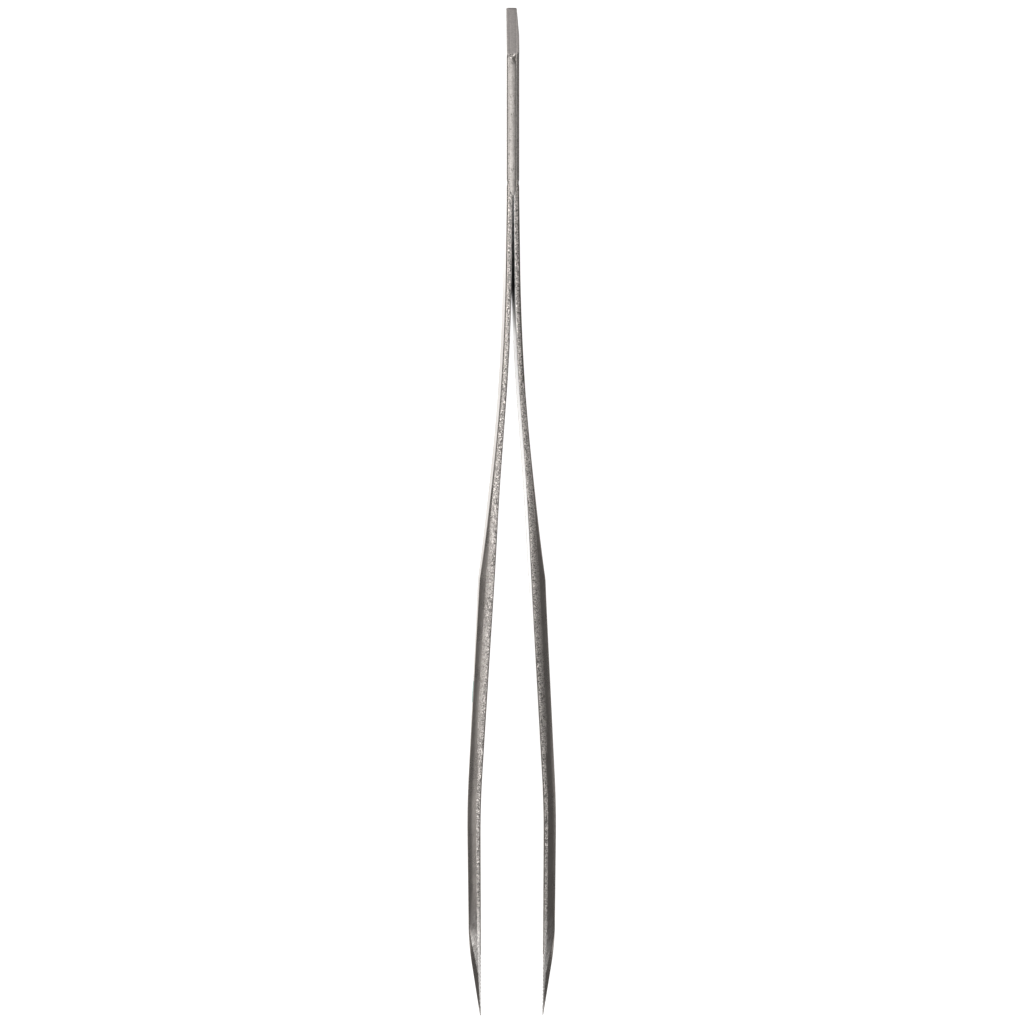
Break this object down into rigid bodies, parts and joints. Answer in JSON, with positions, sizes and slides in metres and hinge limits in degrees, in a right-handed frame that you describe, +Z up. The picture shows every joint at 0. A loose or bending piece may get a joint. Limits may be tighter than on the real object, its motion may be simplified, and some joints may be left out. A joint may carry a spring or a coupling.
{
  "type": "aquascaping tweezers",
  "caption": "Long straight steel tweezers: flat spring arms welded at the tail swell into ridged blades and taper to fine ground points.",
  "frame": {"origin": "under the middle of the tool's length and spread, on the surface that it lies on", "axes": "+Z up, across the width of the leaves; +Y along the tool towards the welded tail, with the tips at -Y; +X towards the right arm, across the spread of the arms"},
  "size_m": [0.0238, 0.27, 0.01],
  "materials": {
    "blasted_steel": "bead-blasted stainless steel, with fine grind marks on the bevels",
    "weld_metal": "ground weld metal with fine pits",
    "green_ink": "printed ink"
  },
  "bodies": {
    "root": {"left_tail_leaf": "blasted_steel", "right_tail_leaf": "blasted_steel", "upper_seam_weld": "weld_metal", "lower_seam_weld": "weld_metal", "tail_end_weld": "weld_metal", "spot_welds": "weld_metal"},
    "left_arm": {"left_arm": "blasted_steel"},
    "right_arm": {"right_arm": "blasted_steel"}
  },
  "joints": [
    {"name": "left_arm_flex", "type": "hinge", "parent": "root", "child": "left_arm", "pos_m": [-0.00131, 0.057, 0.005], "axis": [0, 0, 1], "range_deg": [0, 2.45], "stiffness_Nm_per_rad": 10},
    {"name": "right_arm_flex", "type": "hinge", "parent": "root", "child": "right_arm", "pos_m": [0.00131, 0.057, 0.005], "axis": [0, 0, -1], "range_deg": [0, 2.45], "stiffness_Nm_per_rad": 10}
  ]
}
